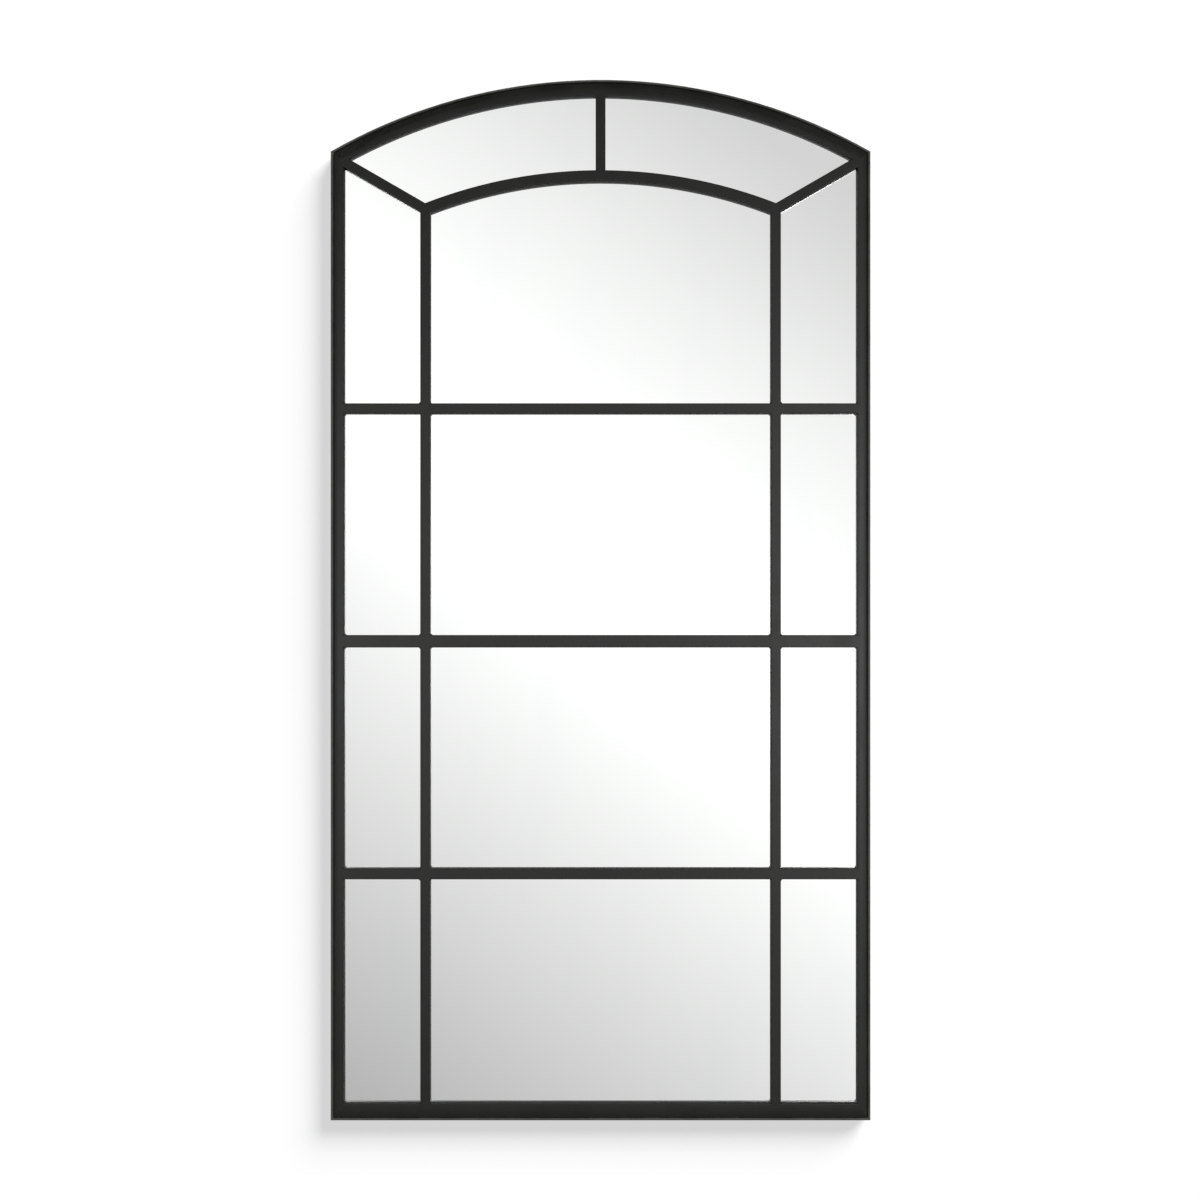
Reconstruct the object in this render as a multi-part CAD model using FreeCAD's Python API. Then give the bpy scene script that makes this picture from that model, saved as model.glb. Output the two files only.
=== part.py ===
"""Arched window mirror: a welded black steel frame with a grille of bars over one mirror sheet.

Millimetres. X runs to the right and Z up as the mirror hangs, and Y runs from the room to the wall.
The origin is under the middle of the frame, at its bottom edge and half way through its depth.
A depth is measured from the front face of the bars towards the wall.
"""
import FreeCAD
import Part
import math
import os

# Outline of the frame: straight sides under a segmental arch
frame_width = 1041.0
shoulder_height = 1869.0
arch_rise = 138.0

# Edge band: flat bar on edge, welded round the outside and set back from the bars
band_thickness = 5.0
band_depth = 30.0
band_setback = 4.0
band_edge_bevel = 1.0

# Face rails inside the band, each width measured from the outside of the band
stile_width = 25.5
arch_rail_width = 30.5
bottom_rail_width = 33.0
bar_depth = 12.0
bar_wall = 1.6
bar_edge_radius = 1.5
bar_edge_flats = 3
groove_width = 1.5
groove_depth = 8.0
slope_width = 8.0
slope_drop = 3.0

# Glazing bars, welded flush with the rails. The inner arch's drop is down from the frame's crown
mullion_width = 19.0
mullion_offset = 338.0
upper_transom_width = 19.5
upper_transom_height = 1373.0
middle_transom_width = 24.0
middle_transom_height = 924.0
lower_transom_width = 20.5
lower_transom_height = 475.5
king_bar_width = 19.0
diagonal_width = 19.0
inner_arch_width = 20.5
inner_arch_radius = 934.0
inner_arch_drop = 175.0

# Small welds in the corners of the grille, behind the ground front edges
weld_leg = 3.0

# Glazing tape, mirror and board behind the bars
tape_thickness = 1.0
tape_width = 10.0
tape_inset = 4.0
glass_thickness = 4.0
glass_clearance = 2.0
board_thickness = 6.0
board_clearance = 1.5

# Bent clips that hold the board, each welded to the band by one leg. On a stile the low one is
# measured up from the bottom, the top one down from the shoulder, and a third is midway
clip_thickness = 1.5
clip_width = 30.0
clip_band_leg = 10.0
clip_board_leg = 20.0
clip_bend_radius = 1.5
low_clip_height = 200.0
top_clip_drop = 509.0
bottom_clip_offset = 320.0
arch_clip_angles = (-17.0, 0.0, 17.0)

# Hanger plates welded to the bands of the stiles
plate_thickness = 2.5
plate_reach = 60.0
plate_height = 92.0
plate_corner = 12.0

# Strap hangers: strip folded double round the pivot bar of a D-ring, its drop from the shoulder
hanger_drop = 269.0
hanger_reach = 32.0
strap_strip = 2.0
strap_width = 19.0
strap_length = 45.0
strap_corner_radius = 5.0
strap_screw_drops = (14.0, 34.0)
strap_screw_radius = 2.5
strap_screw_clearance = 0.05
screw_head_radius = 4.5
screw_head_height = 2.6
screw_head_bevel = 1.3
recess_width = 0.9
recess_span = 4.6
recess_depth = 1.4

# Flat D-ring: a round pivot bar between the feet of a flat bow
ring_pivot_radius = 2.0
ring_clearance = 0.05
ring_pivot_half_length = 10.5
ring_half_opening = 12.0
ring_rim = 4.0
ring_side = 8.0
ring_rest_gap = 0.3

# Corner gussets at the bottom, with rubber bumpers against the wall
gusset_leg = 55.0
gusset_thickness = 3.0
bumper_radius = 7.0
bumper_height = 3.0
bumper_inset = 18.0

# Worked out from the sizes above
half_width = frame_width / 2
crown_height = shoulder_height + arch_rise
arch_radius = (half_width**2 + arch_rise**2) / (2 * arch_rise)
arch_centre = crown_height - arch_radius
inner_arch_height = crown_height - inner_arch_drop
inner_arch_centre = inner_arch_height - inner_arch_radius
hanger_height = shoulder_height - hanger_drop
inner_half_width = half_width - stile_width
inner_rail_radius = arch_radius - arch_rail_width
glass_depth = bar_depth + tape_thickness
board_depth = glass_depth + glass_thickness
board_back = board_depth + board_thickness
plate_back = board_back + plate_thickness
band_back = band_setback + band_depth
front_y = -(band_back + bumper_height) / 2
far = 3 * (frame_width + shoulder_height)
transoms = {
    "upper": (upper_transom_height, upper_transom_width),
    "middle": (middle_transom_height, middle_transom_width),
    "lower": (lower_transom_height, lower_transom_width),
}


def place(x, depth, z):
    """The point at a depth behind the front face of the bars."""
    return FreeCAD.Vector(x, front_y + depth, z)


def height_on(radius, centre, x):
    """Height at x of an arc about a point on the centre line."""
    return centre + math.sqrt(radius**2 - x**2)


def outline(points):
    """Closed wire through points. A tuple (middle, end) is an arc, a point alone a straight line."""
    edges = []
    start = points[0]
    for step in points[1:]:
        if isinstance(step, tuple):
            edges.append(Part.Arc(start, step[0], step[1]).toShape())
            start = step[1]
        else:
            edges.append(Part.makeLine(start, step))
            start = step
    edges.append(Part.makeLine(start, points[0]))
    return Part.Wire(edges)


def prism(corners, depth, thickness):
    """Plate with straight edges between corners (x, z), from a depth backwards."""
    face = Part.Face(Part.makePolygon([place(x, depth, z) for x, z in corners + corners[:1]]))
    return face.extrude(FreeCAD.Vector(0, thickness, 0))


def trim(shape, start, end, keep):
    """Saw a shape along the line through two points (x, z) and keep the side where a third lies."""
    length = math.dist(start, end)
    along = ((end[0] - start[0]) / length, (end[1] - start[1]) / length)
    side = along[0] * (keep[1] - start[1]) - along[1] * (keep[0] - start[0])
    away = (along[1], -along[0]) if side > 0 else (-along[1], along[0])
    near = [(start[0] + s * far * along[0], start[1] + s * far * along[1]) for s in (-1, 1)]
    offcut = near + [(x + far * away[0], z + far * away[1]) for x, z in reversed(near)]
    return shape.cut(prism(offcut, -far, 2 * far))


def mirrored(shape):
    """The same piece for the other side of the mirror."""
    return shape.mirror(FreeCAD.Vector(0, 0, 0), FreeCAD.Vector(1, 0, 0))


# Mitre corners (x, z) at the right: outside, inside of the band, inside of the face rails
band_half_width = half_width - band_thickness
shoulder = (half_width, shoulder_height)
band_shoulder = (
    band_half_width,
    height_on(arch_radius - band_thickness, arch_centre, band_half_width),
)
inner_shoulder = (inner_half_width, height_on(inner_rail_radius, arch_centre, inner_half_width))
foot = (half_width, 0.0)
band_foot = (band_half_width, band_thickness)
inner_foot = (inner_half_width, bottom_rail_width)
middle = (0.0, shoulder_height / 2)
beside = (half_width, shoulder_height / 2)


def band_section(at):
    """Outline of the flat bar on edge, with its two front edges bevelled."""
    bevel = band_edge_bevel
    return outline([
        at(0, band_back),
        at(0, band_setback + bevel),
        at(bevel, band_setback),
        at(band_thickness - bevel, band_setback),
        at(band_thickness, band_setback + bevel),
        at(band_thickness, band_back),
    ])


def rail_stretch(width):
    """How much wider the moulding of a rail is than that of a stile, so that the mitres meet."""
    return (width - band_thickness) / (stile_width - band_thickness)


def ground_edge():
    """A front edge of a bar, ground round by flats: points (in from the side, back from the face)."""
    turns = [math.pi / 2 * step / bar_edge_flats for step in range(bar_edge_flats + 1)]
    radius = bar_edge_radius
    return [(radius * (1 - math.sin(turn)), radius * (1 - math.cos(turn))) for turn in turns]


def rail_section(width, at):
    """Outline of a face rail: quirk beside the band, rounded slope, flat face, ground inner edge."""
    stretch = rail_stretch(width)
    quirk = band_thickness + groove_width * stretch
    slope = slope_width * stretch
    flat = quirk + slope
    round_over = (slope**2 + slope_drop**2) / (2 * slope_drop)
    half_turn = math.asin(slope / round_over) / 2
    slope_middle = at(
        flat - round_over * math.sin(half_turn),
        round_over * (1 - math.cos(half_turn)),
    )
    moulding = [
        at(band_thickness, groove_depth),
        at(quirk, groove_depth),
        at(quirk, slope_drop),
        (slope_middle, at(flat, 0)),
    ]
    inner_edge = [at(width - inward, depth) for inward, depth in ground_edge()]
    back = [at(width, bar_depth), at(band_thickness, bar_depth)]
    return outline(moulding + inner_edge + back)


def rail_bore(width, at):
    """Outline of the hollow inside a face rail."""
    stretch = rail_stretch(width)
    quirk = band_thickness + groove_width * stretch
    flat = quirk + slope_width * stretch
    back = bar_depth - bar_wall
    return outline([
        at(quirk + bar_wall, back),
        at(quirk + bar_wall, slope_drop + bar_wall),
        at(flat, bar_wall),
        at(width - bar_wall, bar_wall),
        at(width - bar_wall, back),
    ])


def upright(section):
    """Draw a section up the right-hand side of the frame."""
    wire = section(lambda u, depth: place(half_width - u, depth, -band_thickness))
    return Part.Face(wire).extrude(FreeCAD.Vector(0, 0, crown_height))


def level(section):
    """Draw a section along the bottom of the frame."""
    wire = section(lambda u, depth: place(-half_width, depth, u))
    return Part.Face(wire).extrude(FreeCAD.Vector(frame_width, 0, 0))


def swept_arch(section):
    """Bend a section round the arch, a little past both shoulders."""
    reach = math.degrees(math.asin((half_width + band_thickness) / arch_radius))
    wire = section(lambda u, depth: place(0, depth, arch_centre + arch_radius - u))
    axis = place(0, 0, arch_centre)
    wire.rotate(axis, FreeCAD.Vector(0, 1, 0), -reach)
    return Part.Face(wire).revolve(axis, FreeCAD.Vector(0, 1, 0), 2 * reach)


def stile_cut(shape, lower, upper, lower_inner, upper_inner):
    """Mitre both ends of a right-hand upright."""
    return trim(trim(shape, lower, lower_inner, beside), upper, upper_inner, beside)


def both_ends_cut(shape, outer, inner, keep):
    """Mitre the two mirrored ends of a piece that spans the frame."""
    for side in (1, -1):
        shape = trim(shape, (side * outer[0], outer[1]), (side * inner[0], inner[1]), keep)
    return shape


def edge_bands():
    """The four lengths of flat bar, mitred at the feet and the shoulders."""
    right = stile_cut(upright(band_section), foot, shoulder, band_foot, band_shoulder)
    below = (0.0, 0.0)
    above = (0.0, crown_height)
    return {
        "right_edge_band": right,
        "left_edge_band": mirrored(right),
        "bottom_edge_band": both_ends_cut(level(band_section), foot, band_foot, below),
        "arch_edge_band": both_ends_cut(swept_arch(band_section), shoulder, band_shoulder, above),
    }


def face_rails(section):
    """The four face rails, or the hollows inside them, mitred on the band's inner corners."""
    def of_width(width):
        return lambda at: section(width, at)

    right = stile_cut(
        upright(of_width(stile_width)), band_foot, band_shoulder, inner_foot, inner_shoulder
    )
    below = (0.0, band_thickness)
    above = (0.0, crown_height)
    bottom = both_ends_cut(level(of_width(bottom_rail_width)), band_foot, inner_foot, below)
    arch = both_ends_cut(
        swept_arch(of_width(arch_rail_width)), band_shoulder, inner_shoulder, above
    )
    return {
        "right_stile": right,
        "left_stile": mirrored(right),
        "bottom_rail": bottom,
        "arch_rail": arch,
    }


def bar_section(width, at):
    """Outline of a glazing bar, across and back, with its two front edges ground."""
    half = width / 2
    left_edge = [at(inward - half, depth) for inward, depth in reversed(ground_edge())]
    right_edge = [at(half - inward, depth) for inward, depth in ground_edge()]
    return outline([at(-half, bar_depth)] + left_edge + right_edge + [at(half, bar_depth)])


def bar_bore(width, at):
    """Outline of the hollow inside a glazing bar."""
    half = width / 2 - bar_wall
    back = bar_depth - bar_wall
    return outline([at(-half, back), at(-half, bar_wall), at(half, bar_wall), at(half, back)])


def straight_bar(section, width, start, end, before, after):
    """A bar between two points (x, z), run on at each end for sawing and coping."""
    length = math.dist(start, end)
    along = ((end[0] - start[0]) / length, (end[1] - start[1]) / length)
    base = (start[0] - before * along[0], start[1] - before * along[1])

    def at(across, depth):
        return place(base[0] - across * along[1], depth, base[1] + across * along[0])

    run = before + length + after
    face = Part.Face(section(width, at))
    return face.extrude(FreeCAD.Vector(run * along[0], 0, run * along[1]))


def tube(width, start, end, before=bar_edge_radius, after=bar_edge_radius):
    """A blank glazing bar and the hollow inside it."""
    return [
        straight_bar(section, width, start, end, before, after)
        for section in (bar_section, bar_bore)
    ]


# Where the mullion, the inner arch and the diagonal meet, on their centre lines
inner_arch_line = inner_arch_radius - inner_arch_width / 2
junction = (mullion_offset, height_on(inner_arch_line, inner_arch_centre, mullion_offset))


def swept_inner_arch(section):
    """Bend a bar section round the inner arch, past both mullions."""
    reach = math.degrees(math.asin((mullion_offset + mullion_width) / inner_arch_line))
    axis = place(0, 0, inner_arch_centre)

    def at(across, depth):
        return place(0, depth, inner_arch_centre + inner_arch_line + across)

    wire = section(inner_arch_width, at)
    wire.rotate(axis, FreeCAD.Vector(0, 1, 0), -reach)
    shape = Part.Face(wire).revolve(axis, FreeCAD.Vector(0, 1, 0), 2 * reach)
    for side in (1, -1):
        edge = side * mullion_offset
        shape = trim(shape, (edge, 0), (edge, shoulder_height), middle)
    return shape


def grille(rails):
    """The glazing bars: each is coped to the blanks that it butts against, then hollowed."""
    blanks = {}
    bores = {}

    def add(name, bar, *against):
        blank, bore = bar
        for other in against:
            blank = blank.cut(blanks.get(other) or rails[other])
        blanks[name] = blank
        bores[name] = bore

    add("inner_arch_bar", (swept_inner_arch(bar_section), swept_inner_arch(bar_bore)))
    seam = ((mullion_offset, 0), (mullion_offset, shoulder_height))
    corner_reach = 2 * bar_edge_radius
    diagonal = [
        trim(shape, *seam, shoulder)
        for shape in tube(diagonal_width, junction, inner_shoulder, diagonal_width, corner_reach)
    ]
    add("right_diagonal", diagonal, "right_stile", "arch_rail")
    blanks["left_diagonal"] = mirrored(blanks["right_diagonal"])
    bores["left_diagonal"] = mirrored(bores["right_diagonal"])
    mullion = tube(mullion_width, (mullion_offset, bottom_rail_width), junction)
    add("right_mullion", mullion, "bottom_rail", "inner_arch_bar", "right_diagonal")
    blanks["left_mullion"] = mirrored(blanks["right_mullion"])
    bores["left_mullion"] = mirrored(bores["right_mullion"])
    near = mullion_offset - mullion_width / 2
    beyond = mullion_offset + mullion_width / 2
    for row, (height, width) in transoms.items():
        across = tube(width, (-near, height), (near, height))
        add(f"{row}_transom_centre", across, "left_mullion", "right_mullion")
        side = tube(width, (beyond, height), (inner_half_width, height))
        add(f"{row}_transom_right", side, "right_mullion", "right_stile")
        blanks[f"{row}_transom_left"] = mirrored(blanks[f"{row}_transom_right"])
        bores[f"{row}_transom_left"] = mirrored(bores[f"{row}_transom_right"])
    king = tube(king_bar_width, (0, inner_arch_height), (0, arch_centre + inner_rail_radius))
    add("king_bar", king, "inner_arch_bar", "arch_rail")
    return {name: blank.cut(bores[name]) for name, blank in blanks.items()}


def corner_welds():
    """Welds in the square corners where the transoms and the bottom rail meet the uprights."""
    sides = [
        (mullion_offset - mullion_width / 2, -1),
        (mullion_offset + mullion_width / 2, 1),
        (inner_half_width, -1),
    ]
    edges = [(bottom_rail_width, 1)]
    for height, width in transoms.values():
        edges += [(height - width / 2, -1), (height + width / 2, 1)]
    right = []
    for x, across in sides:
        for z, up in edges:
            corners = [(x, z), (x + across * weld_leg, z), (x, z + up * weld_leg)]
            right.append(prism(corners, bar_edge_radius, bar_depth - bar_edge_radius))
    return Part.Compound(right + [mirrored(weld) for weld in right])


def arched_sheet(inset, depth, thickness):
    """A sheet inside the frame's outline, its edge an even inset from the outside."""
    edge = half_width - inset
    radius = arch_radius - inset
    corner = height_on(radius, arch_centre, edge)
    wire = outline([
        place(-edge, depth, inset),
        place(edge, depth, inset),
        place(edge, depth, corner),
        (place(0, depth, arch_centre + radius), place(-edge, depth, corner)),
    ])
    return Part.Face(wire).extrude(FreeCAD.Vector(0, thickness, 0))


def glazing_tape():
    """Foam strips on the backs of the rails and mullions, which the mirror is pressed against."""
    inside = inner_half_width + tape_inset
    outside = inside + tape_width
    inner_radius = inner_rail_radius + tape_inset
    outer_radius = inner_radius + tape_width
    low = bottom_rail_width - tape_inset - tape_width
    top_of_low = low + tape_width

    def strip(left, right, bottom, left_top, right_top):
        corners = [(left, bottom), (right, bottom), (right, right_top), (left, left_top)]
        return prism(corners, bar_depth, tape_thickness)

    def on(radius, x):
        return height_on(radius, arch_centre, x)

    side = strip(inside, outside, top_of_low, on(inner_radius, inside), on(inner_radius, outside))
    half = tape_width / 2
    under_junction = junction[1] - inner_arch_width
    mullion = strip(
        mullion_offset - half, mullion_offset + half, top_of_low, under_junction, under_junction
    )
    arch = outline([
        place(outside, bar_depth, on(outer_radius, outside)),
        (place(0, bar_depth, arch_centre + outer_radius),
         place(-outside, bar_depth, on(outer_radius, outside))),
        place(-outside, bar_depth, on(inner_radius, outside)),
        (place(0, bar_depth, arch_centre + inner_radius),
         place(outside, bar_depth, on(inner_radius, outside))),
    ])
    arch_strip = Part.Face(arch).extrude(FreeCAD.Vector(0, tape_thickness, 0))
    bottom = strip(-outside, outside, low, top_of_low, top_of_low)
    return Part.Compound([bottom, arch_strip, side, mirrored(side), mullion, mirrored(mullion)])


def clip_stations():
    """Where the board clips sit on the band: point (x, z) and inward direction (x, z)."""
    stations = []
    top_clip_height = shoulder_height - top_clip_drop
    middle_clip_height = (low_clip_height + top_clip_height) / 2
    for side in (1, -1):
        stations.append(((side * bottom_clip_offset, band_thickness), (0, 1)))
        for z in (low_clip_height, middle_clip_height, top_clip_height):
            stations.append(((side * band_half_width, z), (-side, 0)))
    seat = math.sqrt((arch_radius - band_thickness)**2 - (clip_width / 2)**2)
    for angle in arch_clip_angles:
        out = (math.sin(math.radians(angle)), math.cos(math.radians(angle)))
        stations.append(((seat * out[0], arch_centre + seat * out[1]), (-out[0], -out[1])))
    return stations


def board_clip():
    """Angle of bent strip at the left-hand band: one leg on the band, the other on the board."""
    inner = clip_bend_radius
    outer = clip_bend_radius + clip_thickness
    turn = 1 - math.sqrt(0.5)

    def at(u, back):
        return place(u, board_back + back, -clip_width / 2)

    section = outline([
        at(0, clip_band_leg),
        at(0, outer),
        (at(outer * turn, outer * turn), at(outer, 0)),
        at(clip_board_leg, 0),
        at(clip_board_leg, clip_thickness),
        at(outer, clip_thickness),
        (at(outer - inner * (1 - turn), outer - inner * (1 - turn)), at(clip_thickness, outer)),
        at(clip_thickness, clip_band_leg),
    ])
    return Part.Face(section).extrude(FreeCAD.Vector(0, 0, clip_width))


def board_clips():
    """A clip at each station, its board leg turned inward."""
    clips = []
    for (x, z), (inward_x, inward_z) in clip_stations():
        angle = math.degrees(math.atan2(-inward_z, inward_x))
        clip = board_clip()
        clip.rotate(FreeCAD.Vector(0, 0, 0), FreeCAD.Vector(0, 1, 0), angle)
        clip.translate(FreeCAD.Vector(x, 0, z))
        clips.append(clip)
    return Part.Compound(clips)


def rod(radius, start, end):
    """A plain round rod between two points."""
    return Part.makeCylinder(radius, (end - start).Length, start, end - start)


# Hanger, seen on the right-hand side: the line of its strap, and the eye that the ring turns in
hanger_x = band_half_width - hanger_reach
eye_bore = ring_pivot_radius + ring_clearance
eye_radius = eye_bore + strap_strip
eye_depth = plate_back + eye_radius
strap_back = plate_back + 2 * strap_strip
ring_reach = ring_side + ring_half_opening + ring_rim
ring_lean = math.degrees(math.asin((eye_radius - ring_pivot_radius - ring_rest_gap) / ring_reach))


def strap_screw_points(depth):
    """Centres of the two strap screws at a depth."""
    return [place(hanger_x, depth, hanger_height - drop) for drop in strap_screw_drops]


def hanger_plate():
    """Plate welded to the band, flat on the board, tapped for the strap screws."""
    left = band_half_width - plate_reach
    top = hanger_height + ring_reach + plate_corner
    bottom = top - plate_height
    corners = [
        (band_half_width, bottom),
        (band_half_width, top),
        (left + plate_corner, top),
        (left, top - plate_corner),
        (left, bottom + plate_corner),
        (left + plate_corner, bottom),
    ]
    plate = prism(corners, board_back, plate_thickness)
    for point in strap_screw_points(board_back):
        end = point + FreeCAD.Vector(0, plate_thickness, 0)
        plate = plate.cut(rod(strap_screw_radius + strap_screw_clearance, point, end))
    return plate


def hanger_strap():
    """Strip folded double, its fold rolled into the eye for the ring."""
    half = strap_width / 2
    corner = strap_corner_radius
    turn = corner * (1 - math.sqrt(0.5))

    def at(across, up):
        return place(hanger_x + across, plate_back, hanger_height - strap_length + up)

    side = outline([
        at(half, strap_length),
        at(-half, strap_length),
        at(-half, corner),
        (at(turn - half, turn), at(corner - half, 0)),
        at(half - corner, 0),
        (at(half - turn, turn), at(half, corner)),
    ])
    leaf = Part.Face(side).extrude(FreeCAD.Vector(0, 2 * strap_strip, 0))
    left = place(hanger_x - half, eye_depth, hanger_height)
    right = place(hanger_x + half, eye_depth, hanger_height)
    strap = leaf.fuse(rod(eye_radius, left, right)).removeSplitter().cut(rod(eye_bore, left, right))
    for point in strap_screw_points(plate_back):
        end = point + FreeCAD.Vector(0, 2 * strap_strip, 0)
        strap = strap.cut(rod(strap_screw_radius + strap_screw_clearance, point, end))
    return strap


def d_ring():
    """The ring, leaning on the hanger plate as it does under its own weight."""
    radius = ring_pivot_radius
    inside = ring_half_opening
    outside = inside + ring_rim
    turn = ring_rim * (1 - math.sqrt(0.5))

    def at(x, z):
        return FreeCAD.Vector(x, -radius, z)

    rim = outline([
        at(inside, -radius),
        (at(outside - turn, turn - radius), at(outside, ring_rim - radius)),
        at(outside, ring_side),
        (at(0, ring_reach), at(-outside, ring_side)),
        at(-outside, ring_rim - radius),
        (at(turn - outside, turn - radius), at(-inside, -radius)),
    ])
    opening = outline([
        at(inside, radius),
        at(inside, ring_side),
        (at(0, ring_side + inside), at(-inside, ring_side)),
        at(-inside, radius),
    ])
    through = FreeCAD.Vector(0, 2 * radius, 0)
    plate = Part.Face(rim).extrude(through).cut(Part.Face(opening).extrude(through))
    half = ring_pivot_half_length
    gap = Part.makeBox(2 * half, 2 * radius, 2 * radius, at(-half, -radius))
    pivot = rod(radius, FreeCAD.Vector(-half, 0, 0), FreeCAD.Vector(half, 0, 0))
    ring = plate.cut(gap).fuse(pivot)
    ring.rotate(FreeCAD.Vector(0, 0, 0), FreeCAD.Vector(1, 0, 0), ring_lean)
    ring.translate(place(hanger_x, eye_depth, hanger_height))
    return ring


def hanger_screw():
    """Cross-recess pan-head screw on the Y axis: its head stands on the plane Y = 0."""
    radius = strap_screw_radius
    shank = 2 * strap_strip + plate_thickness

    def at(y, across):
        return FreeCAD.Vector(across, y, 0)

    half = outline([
        at(-shank, 0),
        at(-shank, radius),
        at(0, radius),
        at(0, screw_head_radius),
        at(screw_head_height - screw_head_bevel, screw_head_radius),
        at(screw_head_height, screw_head_radius - screw_head_bevel),
        at(screw_head_height, 0),
    ])
    screw = Part.Face(half).revolve(FreeCAD.Vector(0, 0, 0), FreeCAD.Vector(0, 1, 0), 360)
    for width, height in ((recess_width, recess_span), (recess_span, recess_width)):
        slot = FreeCAD.Vector(-width / 2, screw_head_height - recess_depth, -height / 2)
        screw = screw.cut(Part.makeBox(width, recess_depth, height, slot))
    return screw


def hanger_screws():
    """The screws that fix both straps to their plates."""
    right = [hanger_screw().translated(point) for point in strap_screw_points(strap_back)]
    return Part.Compound(right + [mirrored(screw) for screw in right])


def corner_gusset():
    """Triangular plate welded across the bottom corner, flush with the back of the bands."""
    x = band_half_width
    z = band_thickness
    corners = [(x, z), (x, z + gusset_leg), (x - gusset_leg, z)]
    return prism(corners, band_back - gusset_thickness, gusset_thickness)


def wall_bumper():
    """Rubber dot on the gusset, which stands against the wall."""
    x = band_half_width - bumper_inset
    z = band_thickness + bumper_inset
    return rod(bumper_radius, place(x, band_back, z), place(x, band_back + bumper_height, z))


def pieces():
    """Every piece of the mirror by name."""
    rails = face_rails(rail_section)
    bores = face_rails(rail_bore)
    parts = edge_bands()
    parts.update({name: blank.cut(bores[name]) for name, blank in rails.items()})
    parts.update(grille(rails))
    parts["corner_welds"] = corner_welds()
    parts["glazing_tape"] = glazing_tape()
    glass_inset = band_thickness + glass_clearance
    board_inset = band_thickness + board_clearance
    parts["mirror_glass"] = arched_sheet(glass_inset, glass_depth, glass_thickness)
    parts["backing_board"] = arched_sheet(board_inset, board_depth, board_thickness)
    parts["board_clips"] = board_clips()
    parts["hanger_screws"] = hanger_screws()
    bumper = wall_bumper()
    parts["wall_bumpers"] = Part.Compound([bumper, mirrored(bumper)])
    for name, make in (
        ("hanger_plate", hanger_plate),
        ("hanger_strap", hanger_strap),
        ("d_ring", d_ring),
        ("corner_gusset", corner_gusset),
    ):
        parts[f"right_{name}"] = make()
        parts[f"left_{name}"] = mirrored(parts[f"right_{name}"])
    return parts


os.makedirs("parts", exist_ok=True)
for name, shape in pieces().items():
    shape.exportStep(f"parts/{name}.step")
    print(name, len(shape.Solids), shape.isValid(), round(shape.Volume / 1000, 2), "cm3")
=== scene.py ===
"""Arched window mirror: its finishes, the rolled moulding of its face rails, and its studio."""
import math

import bmesh
import bpy
from mathutils import Matrix, Vector


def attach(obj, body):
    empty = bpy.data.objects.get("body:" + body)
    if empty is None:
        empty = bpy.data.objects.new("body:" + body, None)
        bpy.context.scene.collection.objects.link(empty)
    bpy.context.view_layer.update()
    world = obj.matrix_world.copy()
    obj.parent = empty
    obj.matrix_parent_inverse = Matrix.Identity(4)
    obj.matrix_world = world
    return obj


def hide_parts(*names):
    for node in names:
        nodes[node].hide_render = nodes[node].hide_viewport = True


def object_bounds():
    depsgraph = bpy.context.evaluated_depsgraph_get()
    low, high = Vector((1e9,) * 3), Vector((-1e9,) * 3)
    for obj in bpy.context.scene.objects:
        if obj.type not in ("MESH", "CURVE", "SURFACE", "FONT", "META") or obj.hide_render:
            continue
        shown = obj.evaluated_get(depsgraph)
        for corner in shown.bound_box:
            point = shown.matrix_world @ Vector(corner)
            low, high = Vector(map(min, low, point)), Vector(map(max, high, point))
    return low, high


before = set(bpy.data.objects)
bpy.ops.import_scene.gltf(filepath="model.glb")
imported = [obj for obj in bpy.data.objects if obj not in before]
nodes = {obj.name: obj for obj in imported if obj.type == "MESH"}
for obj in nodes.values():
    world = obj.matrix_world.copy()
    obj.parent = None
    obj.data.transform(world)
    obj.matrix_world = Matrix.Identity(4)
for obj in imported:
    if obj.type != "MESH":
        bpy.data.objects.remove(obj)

cad_low, cad_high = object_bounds()


# Edge bands, glazing bars and corner welds: mild steel, welded into one grille, ground flush and
# sprayed with one coat of satin black. The coat is slightly pebbled and a little uneven in tone;
# the front edges of the bands get a painted highlight, lighter paint standing in for their sheen.
class Link:
    """The output of a shader node, which can be used in sums with numbers and other outputs."""

    def __init__(self, finish, output):
        self.finish = finish
        self.output = output

    def math(self, operation, *values):
        inputs = dict(enumerate(values))
        return self.finish.node("ShaderNodeMath", {"operation": operation}, inputs)

    def __add__(self, other):
        return self.math("ADD", self, other)

    def __sub__(self, other):
        return self.math("SUBTRACT", self, other)

    def __rsub__(self, other):
        return self.math("SUBTRACT", other, self)

    def __mul__(self, other):
        return self.math("MULTIPLY", self, other)

    def __truediv__(self, other):
        return self.math("DIVIDE", self, other)

    def __pow__(self, other):
        return self.math("POWER", self, other)

    def __neg__(self):
        return self.math("MULTIPLY", self, -1.0)

    __radd__ = __add__
    __rmul__ = __mul__


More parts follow.
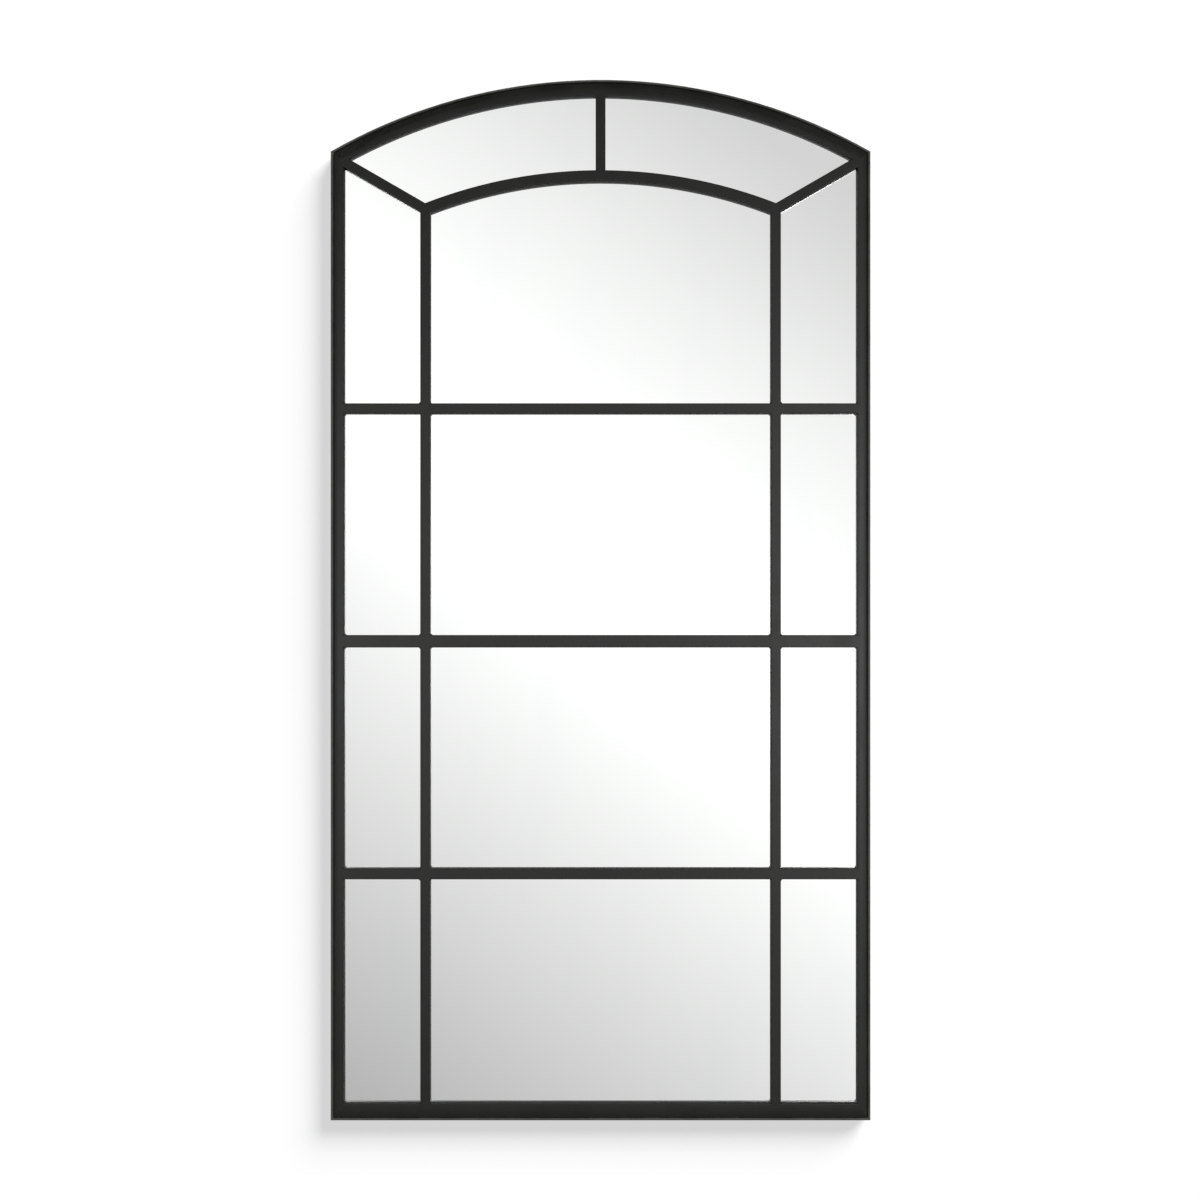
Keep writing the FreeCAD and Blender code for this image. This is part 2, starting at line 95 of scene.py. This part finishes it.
class Finish:
    """The shader tree of a material or of the world, made one node at a time."""

    def __init__(self, owner):
        owner.use_nodes = True
        self.owner = owner
        self.tree = owner.node_tree
        self.tree.nodes.clear()

    def node(self, kind, settings=None, inputs=None, output=None):
        """Adds a node with its settings, then the value or the link of each of its sockets."""
        made = self.tree.nodes.new(kind)
        for name, value in (settings or {}).items():
            if name == "stops":
                self.set_stops(made.color_ramp.elements, value)
            else:
                setattr(made, name, value)
        for name, value in (inputs or {}).items():
            if isinstance(value, Link):
                self.tree.links.new(value.output, made.inputs[name])
            else:
                made.inputs[name].default_value = value
        if output is None:
            return Link(self, next((o for o in made.outputs if o.enabled), None))
        return Link(self, made.outputs[output])

    def set_stops(self, elements, stops):
        while len(elements) < len(stops):
            elements.new(1.0)
        for element, (position, shade) in zip(elements, stops):
            element.position = position
            element.color = (shade, shade, shade, 1.0)

    def where(self, stretch=(1.0, 1.0, 1.0)):
        """Places on the piece in metres, squeezed along an axis to stretch a pattern along it."""
        place = self.node("ShaderNodeTexCoord", output="Object")
        sockets = {"Vector": place, "Scale": stretch}
        return self.node("ShaderNodeMapping", {"vector_type": "POINT"}, sockets)

    def along(self, place, axis):
        """How far a place or a direction reaches along one axis."""
        return self.node("ShaderNodeSeparateXYZ", {}, {"Vector": place}, output=axis)

    def noise(self, place, scale, detail, roughness=0.5):
        sockets = {"Vector": place, "Scale": scale, "Detail": detail, "Roughness": roughness}
        return self.node("ShaderNodeTexNoise", {}, sockets)

    def between(self, value, low, high):
        """0 below low, 1 above high and a smooth rise between them."""
        settings = {"interpolation_type": "SMOOTHSTEP"}
        sockets = {"Value": value, "From Min": low, "From Max": high}
        return self.node("ShaderNodeMapRange", settings, sockets)

    def mixed(self, share, first, second):
        """Two colours mixed. Sockets 6 and 7 of the mixing node are its colours."""
        inputs = {"Factor": share, 6: first, 7: second}
        return self.node("ShaderNodeMix", {"data_type": "RGBA"}, inputs)

    def pitted(self, height, strength, depth):
        inputs = {"Height": height, "Strength": strength, "Distance": depth}
        return self.node("ShaderNodeBump", {}, inputs)

    def surface(self, **sockets):
        """Ends the tree in a surface, each socket named with low lines for spaces."""
        inputs = {name.replace("_", " "): value for name, value in sockets.items()}
        shader = self.node("ShaderNodeBsdfPrincipled", {}, inputs)
        self.node("ShaderNodeOutputMaterial", {}, {"Surface": shader})


def new_finish(name):
    return Finish(bpy.data.materials.new(name))


def coat(finish, *names):
    """Puts a finish on every slot of the named pieces."""
    for name in names:
        for slot in nodes[name].material_slots:
            slot.material = finish.owner


black_paint = (0.0038, 0.0038, 0.0034, 1.0)
thin_paint = (0.0065, 0.0065, 0.0058, 1.0)
# Painted highlight: a pale grey that stands in for the sheen on the front edges of the bands.
painted_highlight_paint = (0.055, 0.055, 0.05, 1.0)
paint_roughness = 0.48
paint_sheen = 0.19
band_setback = 0.004
band_front = cad_low.y + band_setback
lip_start = 0.0008
lip_end = 0.0016
# Share of the painted highlight on a band's front edge: at least this much, and more in patches.
least_painted_highlight = 0.55
patchy_painted_highlight = 0.45


def sprayed(name, painted_edge_highlight=False):
    """Satin black paint; where asked, a painted highlight of lighter paint on the front edge of a
    band.
    """
    finish = new_finish(name)
    pebble = finish.noise(finish.where(), scale=1100.0, detail=3.0)
    cloud = finish.noise(finish.where(), scale=14.0, detail=5.0, roughness=0.6)
    uneven = finish.between(cloud, 0.35, 0.68)
    colour = finish.mixed(uneven, black_paint, thin_paint)
    # Painted highlight: lighter paint in patches on the front edge of a band stands in for the
    # sheen its lip catches.
    if painted_edge_highlight:
        y = finish.along(finish.where(), "Y")
        edge = 1 - finish.between(y, band_front + lip_start, band_front + lip_end)
        painted_highlight = edge * (least_painted_highlight + patchy_painted_highlight * finish.between(cloud, 0.3, 0.6))
        colour = finish.mixed(painted_highlight, colour, painted_highlight_paint)
    finish.surface(
        Base_Color=colour,
        Roughness=paint_roughness + 0.06 * uneven + 0.05 * pebble,
        Specular_IOR_Level=paint_sheen,
        Normal=finish.pitted(pebble, strength=0.045, depth=0.0002),
    )
    return finish


# The bands carry the painted highlight on their front edges.
coat(
    sprayed("black_paint_with_painted_highlight", painted_edge_highlight=True),
    "left_edge_band", "right_edge_band", "bottom_edge_band", "arch_edge_band",
)
satin_black = sprayed("satin_black_paint")
painted = [
    "left_mullion", "right_mullion", "king_bar", "inner_arch_bar",
    "left_diagonal", "right_diagonal", "corner_welds",
]
for row in ("upper", "middle", "lower"):
    painted += [f"{row}_transom_{place}" for place in ("left", "centre", "right")]
coat(satin_black, *painted)


# Face rails: the rounded slope of their moulding, rolled out to most of the rail's width, so that
# only a narrow flat is left beside the mirror. Reaches are from the outside of a stile, and the
# moulding of the other rails is stretched so that all four meet in the mitres.
half_width = 0.5205
crown_height = 2.007
arch_rise = 0.138
arch_radius = (half_width**2 + arch_rise**2) / (2 * arch_rise)
arch_centre = crown_height - arch_radius
band_thickness = 0.005
slope_start = 0.0065
slope_end = 0.0145
flat_start = 0.0200
slope_growth = (flat_start - slope_start) / (slope_end - slope_start) - 1
slope_depth = 0.0031
slope_back = cad_low.y + slope_depth
bottom_stretch = 1.366
arch_stretch = 1.244
shoulder_drop = 0.8655
shoulder_mitre_height = 1.86479
mitre_tolerance = 0.0003
same_corner = 0.000001
smooth_under = math.radians(3)


def rolled_reach(rail, point):
    """How far a point of a rail lies inside the outside of a stile, moulding for moulding."""
    if rail == "bottom_rail":
        return band_thickness + (point.z - band_thickness) / bottom_stretch
    if rail == "arch_rail":
        radius = math.hypot(point.x, point.z - arch_centre)
        return band_thickness + (arch_radius - band_thickness - radius) / arch_stretch
    return half_width - abs(point.x)


def rolling_way(rail, point):
    """Where a point of the slope goes for each metre of reach: along a mitre or to the middle."""
    side = math.copysign(1.0, point.x)
    reach = half_width - abs(point.x)
    mitre_height = shoulder_mitre_height - shoulder_drop * (reach - slope_start)
    if point.z < shoulder_mitre_height / 2:
        return Vector((-side, 0.0, bottom_stretch))
    if rail != "arch_rail" or abs(point.z - mitre_height) < mitre_tolerance:
        return Vector((-side, 0.0, -shoulder_drop))
    return Vector((point.x, 0.0, point.z - arch_centre)).normalized() * -arch_stretch


for rail in ("left_stile", "right_stile", "bottom_rail", "arch_rail"):
    mesh = bpy.data.meshes.new(f"{rail}_rolled")
    shape = bmesh.new()
    shape.from_mesh(nodes[rail].data)
    bmesh.ops.remove_doubles(shape, verts=shape.verts, dist=same_corner)
    for corner in shape.verts:
        reach = rolled_reach(rail, corner.co)
        if corner.co.y < slope_back and slope_start < reach < slope_end + mitre_tolerance:
            corner.co += rolling_way(rail, corner.co) * (reach - slope_start) * slope_growth
    for edge in shape.edges:
        edge.smooth = edge.is_manifold and edge.calc_face_angle() < smooth_under
    for face in shape.faces:
        face.smooth = True
    shape.to_mesh(mesh)
    shape.free()
    piece = bpy.data.objects.new(f"{rail}_rolled", mesh)
    piece.data.materials.append(satin_black.owner)
    bpy.context.scene.collection.objects.link(piece)
    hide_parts(rail)
    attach(piece, "mirror")


# Glazing tape: black closed-cell foam strip, 1 mm thick, stuck on the backs of the rails and
# mullions. The mirror is pressed against it.
foam_black = (0.012, 0.012, 0.012, 1.0)
foam_grey = (0.03, 0.03, 0.03, 1.0)
cells_per_metre = 1600.0

foam = new_finish("black_foam_tape")
cells = foam.node("ShaderNodeTexVoronoi", {}, {"Vector": foam.where(), "Scale": cells_per_metre})
foam.surface(
    Base_Color=foam.mixed(cells, foam_black, foam_grey),
    Roughness=0.75 + 0.2 * cells,
    Normal=foam.pitted(cells, strength=0.5, depth=0.0003),
)
coat(foam, "glazing_tape")


# Mirror: one sheet of 4 mm float glass, silvered on its back. The silver is seen through slightly
# green glass, and the wiped surface has a faint, uneven film.
clean_silver = (0.93, 0.94, 0.93, 1.0)
filmed_silver = (0.915, 0.925, 0.92, 1.0)

silvering = new_finish("silvered_glass")
wiped = silvering.where(stretch=(1.0, 1.0, 0.35))
film = silvering.noise(wiped, scale=7.0, detail=4.0, roughness=0.6)
smear = silvering.between(film, 0.45, 0.75)
silvering.surface(
    Base_Color=silvering.mixed(smear, clean_silver, filmed_silver),
    Metallic=1.0,
    Roughness=0.008 + 0.012 * smear,
)
coat(silvering, "mirror_glass")


# Backing board: bare 6 mm MDF, cut to the same arch as the mirror. Its sanded face shows short
# pressed fibres, faint upright streaks and a few darker flecks.
board_tan = (0.35, 0.235, 0.14, 1.0)
board_pale = (0.45, 0.32, 0.2, 1.0)
streak_brown = (0.33, 0.22, 0.13, 1.0)
fibre_brown = (0.27, 0.175, 0.1, 1.0)
fleck_brown = (0.13, 0.08, 0.045, 1.0)

board_finish = new_finish("bare_fibreboard")
along_fibres = board_finish.where(stretch=(1.0, 1.0, 0.4))
along_streaks = board_finish.where(stretch=(1.0, 1.0, 0.03))
fibres = board_finish.noise(along_fibres, scale=900.0, detail=4.0, roughness=0.65)
patch_noise = board_finish.noise(board_finish.where(), scale=5.0, detail=5.0, roughness=0.6)
streak_noise = board_finish.noise(along_streaks, scale=130.0, detail=3.0)
fleck_noise = board_finish.noise(board_finish.where(), scale=420.0, detail=2.0)
patches = board_finish.between(patch_noise, 0.3, 0.7)
streaks = board_finish.between(streak_noise, 0.35, 0.65)
flecks = board_finish.between(fleck_noise, 0.66, 0.74)
sanded = board_finish.mixed(patches, board_tan, board_pale)
streaked = board_finish.mixed(streaks * 0.35, sanded, streak_brown)
fibrous = board_finish.mixed(fibres * 0.6, streaked, fibre_brown)
board_finish.surface(
    Base_Color=board_finish.mixed(flecks * 0.7, fibrous, fleck_brown),
    Roughness=0.78 + 0.14 * fibres,
    Specular_IOR_Level=0.3,
    Normal=board_finish.pitted(fibres, strength=0.35, depth=0.0003),
)
coat(board_finish, "backing_board")


# Board clips, strap hangers, rings and screws: small pressed steel parts with a thin bright zinc
# plate, a little cloudy, with fine marks from the tumbling drum.
zinc_blue = (0.52, 0.54, 0.57, 1.0)
zinc_pale = (0.72, 0.72, 0.7, 1.0)

zinc_plate = new_finish("bright_zinc_plate")
bloom = zinc_plate.noise(zinc_plate.where(), scale=160.0, detail=4.0, roughness=0.6)
scuffs = zinc_plate.noise(zinc_plate.where(stretch=(1.0, 1.0, 14.0)), scale=700.0, detail=2.0)
zinc_plate.surface(
    Base_Color=zinc_plate.mixed(bloom, zinc_blue, zinc_pale),
    Metallic=1.0,
    Roughness=0.24 + 0.16 * bloom + 0.08 * scuffs,
    Normal=zinc_plate.pitted(scuffs, strength=0.12, depth=0.0001),
)
coat(
    zinc_plate, "board_clips", "hanger_screws",
    "left_hanger_strap", "right_hanger_strap", "left_d_ring", "right_d_ring",
)


# Hanger plates and corner gussets: flat plates welded inside the bands and sprayed with them, so
# their paint is the same satin black.
coat(
    satin_black,
    "left_hanger_plate", "right_hanger_plate", "left_corner_gusset", "right_corner_gusset",
)


# Wall bumpers: moulded black rubber dots, stuck on the gussets. They keep the frame off the wall,
# and their rubber has a faint grey bloom.
rubber_black = (0.018, 0.018, 0.019, 1.0)
rubber_grey = (0.04, 0.04, 0.04, 1.0)

rubber = new_finish("black_rubber")
bloom_on_rubber = rubber.noise(rubber.where(), scale=350.0, detail=4.0)
rubber.surface(
    Base_Color=rubber.mixed(bloom_on_rubber, rubber_black, rubber_grey),
    Roughness=0.6 + 0.25 * bloom_on_rubber,
    Normal=rubber.pitted(bloom_on_rubber, strength=0.3, depth=0.0002),
)
coat(rubber, "wall_bumpers")


# Studio wall and floor: the mirror hangs on a white wall, clear of a white floor. Both only take
# the soft shadow, and from behind the wall is clear.
wall_gap = 0.0002
wall_y = cad_high.y + wall_gap
floor_z = -0.3
floor_reach = 1.0
wall_half_width = 4.0
wall_height = 5.0
wall_white = (0.375, 0.375, 0.375, 1.0)
wall_lift = 0.65

white_paint = new_finish("white_wall_paint")
path = white_paint.node("ShaderNodeLightPath", output="Is Camera Ray")
backfacing = white_paint.node("ShaderNodeNewGeometry", output="Backfacing")
lit = white_paint.node("ShaderNodeBsdfDiffuse", {}, {"Color": wall_white})
lift = white_paint.node("ShaderNodeEmission", {}, {"Strength": wall_lift * path})
paint = white_paint.node("ShaderNodeAddShader", {}, {0: lit, 1: lift})
clear = white_paint.node("ShaderNodeBsdfTransparent")
sheet = white_paint.node("ShaderNodeMixShader", {}, {0: backfacing, 1: paint, 2: clear})
white_paint.node("ShaderNodeOutputMaterial", {}, {"Surface": sheet})


def stage_sheet(name, turn, place, half_across, half_along):
    """A flat sheet of the studio, at a place, turned to face the mirror."""
    mesh = bpy.data.meshes.new(name)
    shape = bmesh.new()
    bmesh.ops.create_grid(shape, x_segments=1, y_segments=1, size=1.0)
    bmesh.ops.scale(shape, vec=(half_across, half_along, 1.0), verts=shape.verts)
    bmesh.ops.transform(shape, matrix=Matrix.Translation(place) @ turn, verts=shape.verts)
    shape.to_mesh(mesh)
    shape.free()
    piece = bpy.data.objects.new(name, mesh)
    piece.data.materials.append(white_paint.owner)
    bpy.context.scene.collection.objects.link(piece)
    return piece


upright = Matrix.Rotation(math.radians(90), 4, "X")
wall_place = (0, wall_y, floor_z + wall_height / 2)
wall = stage_sheet("studio_wall", upright, wall_place, wall_half_width, wall_height / 2)
wall.visible_diffuse = False
wall.visible_glossy = False
wall.visible_transmission = False
wall.visible_shadow = False
floor = stage_sheet(
    "studio_floor", Matrix.Identity(4), (0, 0, floor_z), wall_half_width, floor_reach
)
floor.visible_diffuse = False


# Camera: dead in front of the mirror, a little under the middle of the picture.
camera_distance = 3.4
camera_height = 0.964
picture_middle = (-0.0011, 1.0036)
picture_width = 2.3115
sensor_width = 36.0

camera_data = bpy.data.cameras.new("camera")
camera_data.sensor_width = sensor_width
camera_data.lens = sensor_width * camera_distance / picture_width
camera_data.shift_y = (picture_middle[1] - camera_height) / picture_width
camera = bpy.data.objects.new("camera", camera_data)
camera.location = (picture_middle[0], cad_low.y - camera_distance, camera_height)
camera.rotation_euler = (math.radians(90), 0, 0)
bpy.context.scene.collection.objects.link(camera)
bpy.context.scene.camera = camera
bpy.context.scene.view_settings.view_transform = "Standard"


# Studio room: the mirror shows the white room in front of it, where a bright band runs from the
# upper left to the lower right. Places across the band are in metres on the mirror, as the camera
# sees them. High, low and far aside, past what the mirror shows, the room is dimmer for the paint.
band_across = 0.588
band_up = 0.809
band_reach = 4.0
least_ahead = 0.05
brightest_shade = 1.1
picture_gamma = 2.2
silver_share = 0.93
room_shades = (
    (-2.4, 1.0), (-1.25, 0.64), (-1.0, 0.71), (-0.6, 0.85), (-0.15, 1.0), (0.1, 1.06),
    (0.38, 1.0), (0.6, 0.94), (0.95, 0.82), (2.4, 0.9),
)
dim_high = 0.9
dim_low = 0.5
dim_aside = 0.1
dim_more_on_right = 0.6

world = bpy.data.worlds.new("studio_room")
bpy.context.scene.world = world
room = Finish(world)
towards = room.node("ShaderNodeTexCoord", output="Generated")
x, y, z = (room.along(towards, axis) for axis in "XYZ")
ahead = y.math("MAXIMUM", -y, least_ahead) * (1 / camera_distance)
across_band = (band_across * x + band_up * z) / ahead
stops = [((s / band_reach + 1) / 2, shade / brightest_shade) for s, shade in room_shades]
band_place = (across_band / band_reach + 1) / 2
shade = room.node("ShaderNodeValToRGB", {"stops": stops}, {"Fac": band_place})
high = room.between(z, 0.29, 0.45)
low = room.between(-z, 0.29, 0.5)
far_aside = room.between(x.math("ABSOLUTE", x), 0.18, 0.42)
right_hand = room.between(x, -0.01, 0.01)
band_light = (shade * brightest_shade)**picture_gamma * (1 / silver_share)
left_up_and_down = 1 - dim_high * high - dim_low * low
left_aside = 1 - (dim_aside + dim_more_on_right * right_hand) * far_aside
room_light = band_light * left_up_and_down * left_aside
seen = room.node("ShaderNodeLightPath", output="Is Camera Ray")
strength = seen + (1 - seen) * room_light
background = room.node(
    "ShaderNodeBackground", {}, {"Color": (1.0, 1.0, 1.0, 1.0), "Strength": strength}
)
room.node("ShaderNodeOutputWorld", {}, {"Surface": background})
world.cycles_visibility.diffuse = False


# Studio lamps: a broad key lamp high on the right casts the soft shadow, two softboxes in front
# put a sheen on the paint alone, and a lamp behind lights the back. None shows in the mirror.
middle = (0.0, 0.0, 1.0)
key_place = (3.1, -2.0, 4.9)
key_power = 8.5
key_spread = math.radians(37)
softbox_y = -2.72
softbox_z = 0.96
softbox_width = 0.9
softbox_height = 0.7
softboxes = (("right_softbox", 1.38, 100.0), ("left_softbox", -1.38, 52.0))
back_place = (1.2, 3.0, 2.6)
back_power = 120.0
back_size = 2.0


def stage_lamp(name, kind, place, power):
    """A studio lamp of a kind at a place, turned towards the middle of the mirror."""
    data = bpy.data.lights.new(name, kind)
    data.energy = power
    lamp = bpy.data.objects.new(name, data)
    lamp.location = place
    lamp.rotation_euler = (Vector(middle) - Vector(place)).to_track_quat("-Z", "Y").to_euler()
    bpy.context.scene.collection.objects.link(lamp)
    return lamp


key_lamp = stage_lamp("key_lamp", "SUN", key_place, key_power)
key_lamp.data.angle = key_spread
key_lamp.visible_glossy = False

past_softboxes = bpy.data.collections.new("past_softboxes")
past_softboxes.objects.link(nodes["mirror_glass"])
past_softboxes.collection_objects[0].light_linking.link_state = "EXCLUDE"
for name, across, power in softboxes:
    softbox = stage_lamp(name, "AREA", (across, softbox_y, softbox_z), power)
    softbox.data.shape = "RECTANGLE"
    softbox.data.size = softbox_width
    softbox.data.size_y = softbox_height
    softbox.visible_diffuse = False
    softbox.light_linking.receiver_collection = past_softboxes

back_lamp = stage_lamp("back_lamp", "AREA", back_place, back_power)
back_lamp.data.size = back_size
back_lamp.visible_glossy = False
